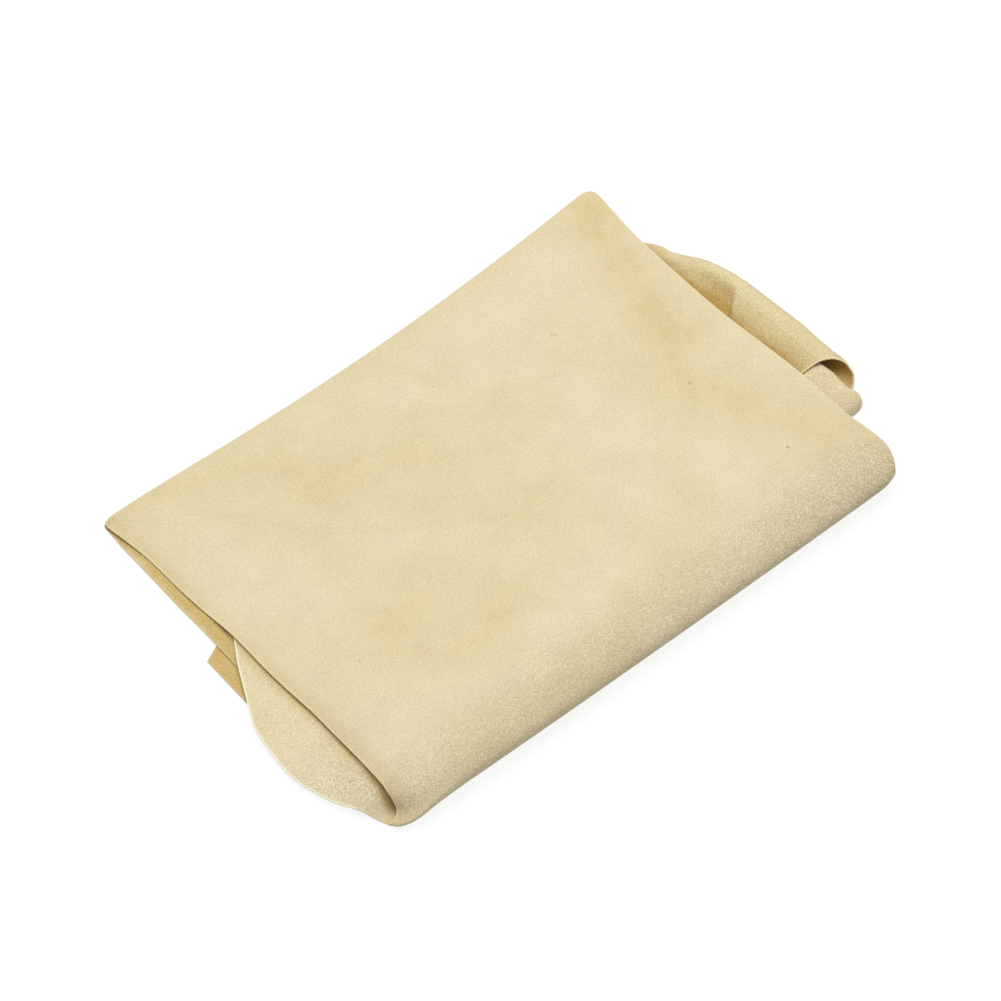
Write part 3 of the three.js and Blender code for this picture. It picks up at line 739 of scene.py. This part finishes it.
SWELL = 0.0004  # gentle unevenness of a hide that was once wrung out
SWELL_WAVES = (  # share, radians a metre across and along, and offset
    (1, 52, 31, 0.6), (0.8, -37, 66, 2.1), (0.6, 88, -54, 4.0), (0.4, 120, 97, 1.2),
)
SWELL_BACK = (0.01, 0.15)  # shares of the panel's depth
SWELL_FRONT = (0.9, 1)
OLD_CREASES = (
    ((0.001, 0.089), (0.014, 0.065), (0.026, 0.046)),
    ((-0.102, 0.076), (-0.077, 0.04), (-0.045, 0.013), (0.002, -0.022)),
)  # faint lines left by an earlier folding
OLD_CREASE_WIDTH = 0.0028
OLD_CREASE_DEPTH = 0.00028
OLD_CREASE_OIL = 0.18
OIL_AND_SHADE_MARKS = (  # places on a line, half width, and depth of colour, below 0 where rubbed paler
    (((-0.098, 0.092), (-0.06, 0.075), (-0.055, 0.055)), 0.02, 0.34),
    (((-0.03, 0.05), (-0.012, 0.03), (-0.02, 0.016)), 0.018, 0.4),
    (((0.03, 0.037), (0.039, 0.021)), 0.009, 0.28),
    (((0, -0.012), (0.012, -0.016)), 0.011, 0.3),
    ((
        (-0.055, -0.013), (-0.074, -0.018), (-0.084, -0.036), (-0.072, -0.05), (-0.052, -0.055),
        (-0.034, -0.048),
    ), 0.013, 0.34),
    (((-0.064, -0.034), (-0.05, -0.04)), 0.02, 0.22),
    # these two marks along the trough inside the right edge are partly painted shade of its slope
    (((0.127, 0.092), (0.116, 0.06), (0.112, 0.038), (0.11, 0.018)), 0.012, 0.65),
    ((
        (0.106, 0.012), (0.094, -0.008), (0.104, -0.028), (0.117, -0.056), (0.122, -0.068),
    ), 0.014, 0.48),
    (((0.03, -0.078), (0.026, -0.081)), 0.012, 0.3),
    (((0.057, -0.06), (0.052, -0.066)), 0.008, 0.2),
    (((-0.096, -0.093), (-0.056, -0.095), (-0.014, -0.094)), 0.011, 0.35),
    (((0.09, 0.085), (0.07, 0.075)), 0.025, -0.3),
    (((0.061, 0.008), (0.06, -0.006)), 0.013, -0.3),
    (((0.074, -0.052), (0.078, -0.064)), 0.014, -0.3),
    (((-0.03, -0.066), (-0.02, -0.072)), 0.011, -0.3),
    (((-0.1, 0.011), (-0.107, 0.035)), 0.016, -0.2),
    (((-0.116, -0.06), (-0.112, -0.076)), 0.012, -0.25),
)
EDGE_OIL = 0.6  # the colour is deeper along the left cut edge
EDGE_BAND_WIDTH = 0.008
BACK_OIL = 0.3
BACK_OIL_WIDTH = 0.02
OIL_ALL_OVER = 0.12
INSIDE_OIL = 0.1
CREASE_PALES = (0.15, 0.48)  # share of the crease over which its inside turns from golden to pale
TOP_RAISED = 0.1
# the raised nap on the roll also paints the shade of its front, which turns away from the lamp
ROLL_RAISED = 1.1
ROLL_RAISED_RIGHT = 1.5
RAISED_RIGHT_X = (0.02, 0.12)
RAISED_FRONT_Y = (-0.062, -0.1)
SPECKS = (  # place, radius and depth of a few pores and healed scratches
    (0.0695, 0.0494, 0.0009, 0.2), (0.0705, 0.0484, 0.0008, 0.25), (0.096, -0.01, 0.0013, 0.22),
    (0.103, -0.064, 0.0012, 0.3), (-0.008, -0.012, 0.0009, 0.18), (-0.1, -0.028, 0.001, 0.2),
    (0.013, 0.062, 0.0009, 0.15),
)

hide_across = shares(144)


def near_line(x, y, corners, half_width):
    """1 on a line across the pack, fading to both sides of it."""
    nearest = np.inf
    for (ax, ay), (bx, by) in zip(corners, corners[1:]):
        length = (bx - ax) ** 2 + (by - ay) ** 2
        t = np.clip(((x - ax) * (bx - ax) + (y - ay) * (by - ay)) / length, 0, 1)
        nearest = np.minimum(nearest, np.hypot(x - mix(ax, bx, t), y - mix(ay, by, t)))
    return np.exp(-((nearest / half_width) ** 2))


def top_left(y):
    return LEFT_SIDE + along(TOP_LEFT_INSET, y - FRONT)


def left_edge(x, y):
    """Left cut edge of the upper hide at a place on the skewed pack."""
    return top_left(y + FRONT_SKEW * x)


def outer_oil_and_shade(x, y):
    """How deep the colour of the top panel is, from place to place, with painted shade along the
    trough inside its right edge.
    """
    at_edge = 1 - ease(x - left_edge(x, y), 0, EDGE_BAND_WIDTH)
    dry = (1 - OIL_ALL_OVER) * (1 - EDGE_OIL * at_edge)
    dry = dry * (1 - BACK_OIL * ease(y, BACK - BACK_OIL_WIDTH, BACK))
    for corners, half_width, depth in OIL_AND_SHADE_MARKS:
        dry = dry * (1 - depth * near_line(x, y, corners, half_width))
    for corners in OLD_CREASES:
        dry = dry * (1 - OLD_CREASE_OIL * near_line(x, y, corners, OLD_CREASE_WIDTH))
    return 1 - dry


def top_underside_oil_and_shade(x, y):
    """The inside of the top panel is pale, but for a band of painted shade along its left cut edge,
    in the gap above the layers below.
    """
    return INSIDE_OIL + (1 - ease(x - left_edge(x, y), 0, EDGE_BAND_WIDTH))


def outer_raised(x, y):
    """The nap of the top panel rises towards the roll, most at its right end."""
    on_roll = mix(ROLL_RAISED, ROLL_RAISED_RIGHT, ease(x, *RAISED_RIGHT_X))
    return mix(TOP_RAISED, on_roll, ease(y, *RAISED_FRONT_Y))


def hang(from_edge):
    """From 0 at the left cut edge of the upper hide to 1 where it no longer hangs."""
    return 1 - (1 - np.clip(from_edge / LEFT_EDGE_WIDTH, 0, 1)) ** HANG_CURVE


def swell(x, y):
    """Low swells and hollows of the top panel."""
    waves = sum(share * np.sin(u * x + v * y + w) for share, u, v, w in SWELL_WAVES)
    from_hollow = x - HOLLOW_X - HOLLOW_LEAN * (y - HOLLOW_Y)
    hollow = np.exp(-((from_hollow / HOLLOW_WIDTH) ** 2)) * ease(y, *HOLLOW_STARTS_Y)
    creases = sum(near_line(x, y, corners, OLD_CREASE_WIDTH) for corners in OLD_CREASES)
    return SWELL * waves - HOLLOW_DEPTH * hollow - OLD_CREASE_DEPTH * creases


def top_place(forward):
    """Points of the top panel at a share from the back crease, 0, to the crest of the roll, 1."""
    guess_x = mix(LEFT_SIDE, RIGHT_SIDE, hide_across)
    guess_y = mix(crease_y(guess_x), ROLL_END_Y, forward)
    x = mix(top_left(guess_y), top_right(guess_y), hide_across)
    turn_end = crease_y(x) + CREASE_RADIUS * math.sin(TOP_SLOPE)
    crease_z = SKIN + CREASE_RADIUS * (1 + math.cos(TOP_SLOPE))
    y = mix(turn_end, ROLL_END_Y - FRONT_SKEW * x, forward)
    sag = TOP_SAG * np.sin(math.pi * forward) * (1 - ease(x - LEFT_SIDE, 0, SAG_WIDTH))
    sag = sag * ease(forward, 0, SAG_BACK) * ease(1 - forward, 0, SAG_FRONT)
    z = mix(crease_z, ROLL_END_Z, forward) - sag
    z = z + swell(x, y) * ease(forward, *SWELL_BACK) * (1 - ease(forward, *SWELL_FRONT))
    edge_z = along(LEFT_EDGE_HEIGHT, y + FRONT_SKEW * x - FRONT)
    return placed(x, y, mix(edge_z, z, hang(x - left_edge(x, y))))


crease_share = CREASE_MARGIN / (BACK - ROLL_END_Y)
crease_x = mix(top_left(BACK), top_right(BACK), hide_across)
under_x = mix(BOTTOM_LEFT, top_right(BACK), hide_across)
under_share = np.linspace(1, 0, 6)[:-1, None]
under_y = crease_y(under_x) - CREASE_MARGIN * under_share
crease_under = placed(mix(crease_x, under_x, under_share), under_y, SKIN)
crease_turn = np.linspace(-math.pi / 2, math.pi / 2, 19)[:-1, None]
crease_turn = np.where(crease_turn > 0, crease_turn * (1 - TOP_SLOPE / (math.pi / 2)), crease_turn)
crease_round = placed(
    crease_x, crease_y(crease_x) + CREASE_RADIUS * np.cos(crease_turn),
    SKIN + CREASE_RADIUS * (1 + np.sin(crease_turn)),
)
crease_points = np.concatenate([
    crease_under, crease_round, top_place(np.linspace(0, crease_share, 6)[:, None]),
])
crease_length = row_lengths(crease_points) + crease_points[:1, :, 1]
crease_grid, crease_seams = numbered(crease_points, FIRST_ROW, LAST_ROW)
crease_xy = crease_points[..., 0], crease_points[..., 1]
crease_pale = ease(np.linspace(0, 1, len(crease_points))[:, None], *CREASE_PALES)
crease = leather(
    "back_crease", [crease_grid], crease_points,
    np.stack([crease_points[..., 0], crease_length], -1), crease_seams,
    flesh_oil_and_shade=mix(lower_painted_shade(*crease_xy), top_underside_oil_and_shade(*crease_xy), crease_pale),
    grain_oil_and_shade=outer_oil_and_shade(*crease_xy), raised=outer_raised(0, BACK),
)
BUFF = linear(222, 203, 154)
BROWN_RIM = linear(240, 224, 180)
INSIDE = linear(237, 224, 188)
outer_suede = suede(
    "outer_suede", GRAIN, INSIDE, BUFF, BROWN_RIM, flesh_deep=GOLDEN_FLESH, specks=SPECKS,
)
crease.data.materials.append(outer_suede)
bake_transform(crease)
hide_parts("back_crease_lower", "back_crease_upper")

# Top panel: the large face of the pack, the same hide with its smooth grain side out, clouded by
# handling. It slopes from the fat front roll to the back crease, and its left edge hangs a little.
top_forward = np.linspace(crease_share, 1, 116)[:, None]
top_points = top_place(top_forward)
top_length = row_lengths(top_points) + crease_length[-1:]
top_grid, top_seams = numbered(top_points, FIRST_ROW, LAST_ROW)
top_xy = top_points[..., 0], top_points[..., 1]
top = leather(
    "top_panel_hide", [top_grid], top_points,
    np.stack([top_points[..., 0], top_length], -1), top_seams,
    flesh_oil_and_shade=top_underside_oil_and_shade(*top_xy), grain_oil_and_shade=outer_oil_and_shade(*top_xy), raised=outer_raised(*top_xy),
)
top.data.materials.append(outer_suede)
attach(top, "top")
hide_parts("top_panel")

# Front roll: where the other end of the hide is turned in without a crease, so it stays fat and
# round. Its nap stands open on the bend. The left end is drawn back to a hook at the cut edge.
ROLL_LOWER_REACH = 0.01
ROLL_DROP = ROLL_NOSE_Z - SKIN
ROLL_UNDERCUT = 0.0095
RIGHT_HOOK_LENGTH = 0.008
RIGHT_HOOK_DEPTH = 0.0022
TONGUE_REACH = (  # how far the tongue comes out of the pack, by the distance from the front
    (0.01, 0.0027), (0.015, 0.0051), (0.0235, 0.0093), (0.03, 0.0129), (0.041, 0.0166),
    (0.05, 0.0185), (0.06, 0.0185), (0.072, 0.0171), (0.08, 0.0153), (0.094, 0.0085),
    (0.108, 0.0016), (0.119, -0.0052),
)
INNER_RIGHT_INSET = ((0.02, 0.009), (0.04, 0.026), (0.121, 0.036))
INNER_Z = 0.00365
RAMP_Y = -0.07815
GROUND_Y = NOSE_Y + ROLL_LOWER_REACH
HOOK_LENGTH = 0.012
HOOK_DEPTH = 0.0062
HOOK_FADES = (math.radians(50), math.radians(98))  # turns of the roll
FRONT_BOW = 0.0009  # the roll bulges a little in the middle
LIP_REACH = 0.0045  # at the left end the front of the roll comes out low, like a lip
LIP_STARTS = math.radians(35)
LIP_HEIGHT = 0.2  # share of the roll's height
LEFT_END_HEIGHT = (LEFT_EDGE_HEIGHT[0][1] - SKIN) / (ROLL_END_Z - SKIN)
LEFT_END_FALLS = (math.radians(60), math.radians(5))
TONGUE_LIFT = 0.003  # the inner leaf rises towards the hanging edge of the top panel
TONGUE_CLEARANCE = 0.0025
LIFT_RISES = (-0.016, 0.002)  # distances from that edge
LIFT_FALLS = (0.004, 0.04)
LIFT_LENGTH = 0.004
TONGUE_RAISED = 1.25
TONGUE_OIL = 0.1
TONGUE_OIL_Y = (-0.075, -0.05)
UNDER_EDGE_SHADE_FRONT = 1.1  # painted shade on the tongue under the left cut edge of the top panel, darkest at the front
UNDER_EDGE_SHADE_BACK = 0.65
UNDER_EDGE_SHADE_Y = (-0.085, -0.06)
UNDER_EDGE_DEEPENS = (-0.005, 0.0005)  # distances from that edge
UNDER_EDGE_FADES = (0.004, 0.02)
# painted shade in the hollow behind the hook at the roll's left end
HOOK_HOLLOW = ((-0.1315, -0.0895), (-0.1334, -0.0896), (-0.135, -0.089))
HOOK_HOLLOW_SHADE = 0.5
HOOK_HOLLOW_WIDTH = 0.0025


def tongue_left(y):
    return LEFT_SIDE - along(TONGUE_REACH, y - FRONT)


def inner_right(y):
    return RIGHT_SIDE - along(INNER_RIGHT_INSET, y - FRONT)


def near_edge(x, y, rises, falls):
    """1 along the left cut edge of the top panel, fading to both sides of it."""
    edge = left_edge(x, y)
    return ease(x, edge + rises[0], edge + rises[1]) * (
        1 - ease(x, edge + falls[0], edge + falls[1])
    )


def tongue_lift(x, y):
    """How far the inner leaf rises where the top panel leaves room for it."""
    room = along(LEFT_EDGE_HEIGHT, y - FRONT) - INNER_Z - TONGUE_CLEARANCE
    lifted = near_edge(x, y, LIFT_RISES, LIFT_FALLS)
    return np.clip(room, 0, TONGUE_LIFT) * lifted * ease(y, GROUND_Y, RAMP_Y + LIFT_LENGTH)


def roll_inside_oil_and_shade(x, y):
    """How deep the colour of the tongue and the inside of the roll is, with painted shade under the
    top panel's left cut edge and in the hook's hollow.
    """
    under_edge_shade = near_edge(x, y, UNDER_EDGE_DEEPENS, UNDER_EDGE_FADES) * mix(
        UNDER_EDGE_SHADE_FRONT, UNDER_EDGE_SHADE_BACK, ease(y, *UNDER_EDGE_SHADE_Y),
    )
    hollow = HOOK_HOLLOW_SHADE * near_line(x, y, HOOK_HOLLOW, HOOK_HOLLOW_WIDTH)
    return np.maximum(TONGUE_OIL * ease(y, *TONGUE_OIL_Y) + under_edge_shade, hollow)


upper_turn = np.linspace(ROLL_CREST, 0, 41)[:, None]
upper_y = NOSE_Y + ROLL_UPPER_REACH * (1 - np.cos(upper_turn))
lip = ease(upper_turn, LIP_STARTS, 0)
upper_x = mix(top_left(upper_y) - LIP_REACH * lip, top_right(upper_y), hide_across)
roll_upper = placed(
    upper_x, upper_y - FRONT_SKEW * upper_x, ROLL_NOSE_Z + ROLL_RISE * np.sin(upper_turn),
)
lower_turn = np.linspace(0, -math.pi / 2, 25)[1:, None]
lower_share = lower_turn / (-math.pi / 2)
roll_lower_y = NOSE_Y + ROLL_LOWER_REACH * (1 - np.cos(lower_turn))
ground_right = top_right(NOSE_Y) - ROLL_UNDERCUT
roll_lower_x = mix(
    mix(top_left(NOSE_Y) - LIP_REACH, tongue_left(GROUND_Y), lower_share),
    mix(top_right(NOSE_Y), ground_right, lower_share), hide_across,
)
roll_lower = placed(
    roll_lower_x, roll_lower_y - FRONT_SKEW * roll_lower_x,
    ROLL_NOSE_Z + ROLL_DROP * np.sin(lower_turn),
)
ramp_share = np.linspace(0, 1, 11)[1:, None]
ramp_y = mix(GROUND_Y, RAMP_Y, ramp_share)
ramp_right = mix(ground_right, inner_right(RAMP_Y), ramp_share)
ramp_x = mix(tongue_left(ramp_y), ramp_right, hide_across)
ramp = placed(
    ramp_x, ramp_y - FRONT_SKEW * ramp_x * (1 - ramp_share),
    mix(SKIN, INNER_Z, ease(ramp_share, 0, 1)) + tongue_lift(ramp_x, ramp_y),
)
roll_points = np.concatenate([roll_upper, roll_lower, ramp])
roll_turn = np.concatenate([upper_turn, lower_turn, np.full((len(ramp), 1), -math.pi / 2)])
turned_rows = len(roll_upper) + len(roll_lower)
from_left_end = roll_points[..., 0] - roll_points[:, :1, 0]
from_right_end = roll_points[:, -1:, 0] - roll_points[..., 0]
left_height = mix(LEFT_END_HEIGHT, LIP_HEIGHT, ease(roll_turn[:turned_rows], *LEFT_END_FALLS))
roll_squat = mix(left_height, 1, hang(from_left_end)[:turned_rows])
roll_points[:turned_rows, :, 2] = SKIN + (roll_points[:turned_rows, :, 2] - SKIN) * roll_squat
hooked = np.where(roll_turn < 0, np.cos(roll_turn), 1 - ease(roll_turn, *HOOK_FADES))
for from_end, length, depth in (
    (from_left_end, HOOK_LENGTH, HOOK_DEPTH),
    (from_right_end, RIGHT_HOOK_LENGTH, RIGHT_HOOK_DEPTH),
):
    hook = np.clip(1 - from_end / length, 0, 1)
    roll_points[..., 1] += depth * (1 - np.sqrt(1 - hook**2)) * hooked
front_bow = FRONT_BOW * (1 - (roll_points[..., 0] / RIGHT_SIDE) ** 2).clip(0)
roll_points[..., 1] -= front_bow * np.cos(roll_turn).clip(0)
roll_length = row_lengths(roll_points) + top_length[-1:]
roll_grid, roll_seams = numbered(roll_points, FIRST_ROW, LAST_ROW)
roll_xy = roll_points[..., 0], roll_points[..., 1]
roll_raised = outer_raised(*roll_xy)
roll_raised[turned_rows:] = mix(roll_raised[turned_rows:], TONGUE_RAISED, ease(ramp_share, 0, 1))
roll = leather(
    "front_roll", [roll_grid], roll_points,
    np.stack([roll_points[..., 0], roll_length], -1), roll_seams,
    flesh_oil_and_shade=roll_inside_oil_and_shade(*roll_xy), grain_oil_and_shade=outer_oil_and_shade(*roll_xy), raised=roll_raised,
)
roll.data.materials.append(outer_suede)
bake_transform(roll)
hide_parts("front_roll_upper", "front_roll_lower")

# Inner leaf and tongue: the far end of the same hide, tucked back inside, flesh side up.
# Its rounded lobe comes out past the left cut edge and lies on the layers below.
INNER_END_Y = 0.021
TONGUE_DROOP = 0.001
TONGUE_DROOP_SPAN = 0.028
TONGUE_CREASES = (  # places on a line, half width and depth
    (((-0.1475, -0.023), (-0.136, -0.02)), 0.0025, 0.0004),
    (((-0.151, -0.043), (-0.133, -0.036)), 0.0022, 0.0003),
    (((-0.1515, -0.056), (-0.14, -0.055), (-0.131, -0.063)), 0.002, 0.00035),
    (((-0.147, -0.068), (-0.137, -0.068)), 0.0018, 0.0003),
)
PUCKER = 0.0001  # the lower part of the tongue has dried wrinkled
PUCKER_WAVES = ((900, 520, 0), (-430, 980, 1.7), (1250, -640, 0.4))
PUCKER_Y = (-0.04, -0.066)
PUCKER_WIDTH = 0.012
INNER_RAISED = 0.5
INNER_RAISED_Y = (-0.035, -0.07)
INNER_GRAIN_OIL = 0.1

inner_share = np.linspace(0, 1, 52)[:, None]
inner_y = mix(RAMP_Y, INNER_END_Y, inner_share)
inner_x = mix(tongue_left(inner_y), inner_right(inner_y), hide_across)
inner_z = INNER_Z - TONGUE_DROOP * ease(LEFT_SIDE - inner_x, 0, TONGUE_DROOP_SPAN)
for corners, half_width, depth in TONGUE_CREASES:
    inner_z = inner_z - depth * near_line(inner_x, inner_y, corners, half_width)
puckers = sum(np.sin(u * inner_x + v * inner_y + w) for u, v, w in PUCKER_WAVES)
puckers = PUCKER * puckers * ease(inner_y, *PUCKER_Y)
inner_z = inner_z + puckers * ease(LEFT_SIDE + PUCKER_WIDTH - inner_x, 0, PUCKER_WIDTH)
inner_z = inner_z + tongue_lift(inner_x, inner_y)
inner_points = placed(inner_x, inner_y, inner_z)
inner_points[0] = roll_points[-1]
inner_flat_y = inner_y + (roll_length[-1].mean() - RAMP_Y)
inner_raised = mix(INNER_RAISED, TONGUE_RAISED, ease(inner_y, *INNER_RAISED_Y))
inner_grid, inner_seams = numbered(inner_points, FIRST_ROW)
inner = leather(
    "inner_leaf_hide", [inner_grid], inner_points,
    np.stack(np.broadcast_arrays(inner_x, inner_flat_y), -1), inner_seams,
    flesh_oil_and_shade=roll_inside_oil_and_shade(inner_x, inner_y), grain_oil_and_shade=INNER_GRAIN_OIL,
    raised=np.broadcast_to(inner_raised, inner_x.shape),
)
BRIGHT_RIM = linear(252, 242, 214)
inner.data.materials.append(suede(
    "tongue_suede", GRAIN, INSIDE, BUFF, BRIGHT_RIM,
    flesh_deep=GOLDEN_FLESH, cloud=0.06, rim=1,
))
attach(inner, "inner")
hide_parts("inner_leaf", "tongue")

# Studio: a plain white floor and soft, even light from a large overhead lamp and a pale sky.
# The floor shows white to the camera where it is lit, and keeps the hide's shadow.
FLOOR_SIZE = 12
FLOOR_DROP = 0.0001
FLOOR_COLOUR = (0.75, 0.75, 0.75, 1)
FLOOR_SEEN_COLOUR = (0.14, 0.14, 0.14, 1)
FLOOR_SEEN_LIFT = 0.88
SKY_LEVEL = 0.42
WHITE = (1, 1, 1, 1)
LAMP_PLACE = Vector((0.25, 0.5, 2.7))
LAMP_SIZE = 2.4
LAMP_POWER = 54.5

floor_mesh = bpy.data.meshes.new("floor")
floor_sides = ((-0.5, -0.5), (0.5, -0.5), (0.5, 0.5), (-0.5, 0.5))
floor_corners = [(x * FLOOR_SIZE, y * FLOOR_SIZE, -FLOOR_DROP) for x, y in floor_sides]
floor_mesh.from_pydata(floor_corners, [], [(0, 1, 2, 3)])
floor = bpy.data.objects.new("floor", floor_mesh)
bpy.context.scene.collection.objects.link(floor)
floor_material = bpy.data.materials.new("floor_white")
floor_material.use_nodes = True
floor_nodes, floor_links = floor_material.node_tree.nodes, floor_material.node_tree.links
floor_nodes.clear()
floor_paint = floor_nodes.new("ShaderNodeBsdfDiffuse")
floor_paint.inputs["Color"].default_value = FLOOR_COLOUR
floor_face = floor_nodes.new("ShaderNodeBsdfDiffuse")
floor_face.inputs["Color"].default_value = FLOOR_SEEN_COLOUR
floor_glow = floor_nodes.new("ShaderNodeEmission")
floor_glow.inputs["Strength"].default_value = FLOOR_SEEN_LIFT
floor_both = floor_nodes.new("ShaderNodeAddShader")
floor_seen = floor_nodes.new("ShaderNodeLightPath")
floor_choice = floor_nodes.new("ShaderNodeMixShader")
floor_out = floor_nodes.new("ShaderNodeOutputMaterial")
seen = floor_seen.outputs["Is Camera Ray"]
for ray in ("Is Glossy Ray", "Is Transmission Ray"):
    either = floor_nodes.new("ShaderNodeMath")
    either.operation = "MAXIMUM"
    floor_links.new(seen, either.inputs[0])
    floor_links.new(floor_seen.outputs[ray], either.inputs[1])
    seen = either.outputs["Value"]
floor_links.new(floor_face.outputs["BSDF"], floor_both.inputs[0])
floor_links.new(floor_glow.outputs["Emission"], floor_both.inputs[1])
floor_links.new(seen, floor_choice.inputs["Fac"])
floor_links.new(floor_paint.outputs["BSDF"], floor_choice.inputs[1])
floor_links.new(floor_both.outputs["Shader"], floor_choice.inputs[2])
floor_links.new(floor_choice.outputs["Shader"], floor_out.inputs["Surface"])
floor_mesh.materials.append(floor_material)

sky = bpy.data.worlds.new("studio")
sky.use_nodes = True
bpy.context.scene.world = sky
sky_nodes, sky_links = sky.node_tree.nodes, sky.node_tree.links
sky_light, sky_white = sky_nodes["Background"], sky_nodes.new("ShaderNodeBackground")
for background, level in ((sky_light, SKY_LEVEL), (sky_white, 1)):
    background.inputs["Color"].default_value = WHITE
    background.inputs["Strength"].default_value = level
sky_seen = sky_nodes.new("ShaderNodeLightPath")
sky_choice = sky_nodes.new("ShaderNodeMixShader")
sky_links.new(sky_seen.outputs["Is Camera Ray"], sky_choice.inputs["Fac"])
sky_links.new(sky_light.outputs["Background"], sky_choice.inputs[1])
sky_links.new(sky_white.outputs["Background"], sky_choice.inputs[2])
sky_links.new(sky_choice.outputs["Shader"], sky_nodes["World Output"].inputs["Surface"])

lamp = bpy.data.objects.new("overhead_lamp", bpy.data.lights.new("overhead_lamp", "AREA"))
lamp.data.shape = "DISK"
lamp.data.size = LAMP_SIZE
lamp.data.energy = LAMP_POWER
lamp.location = LAMP_PLACE
lamp.rotation_euler = (Vector((0, 0, 0)) - LAMP_PLACE).to_track_quat("-Z", "Y").to_euler()
bpy.context.scene.collection.objects.link(lamp)

bpy.context.scene.view_settings.view_transform = "Standard"
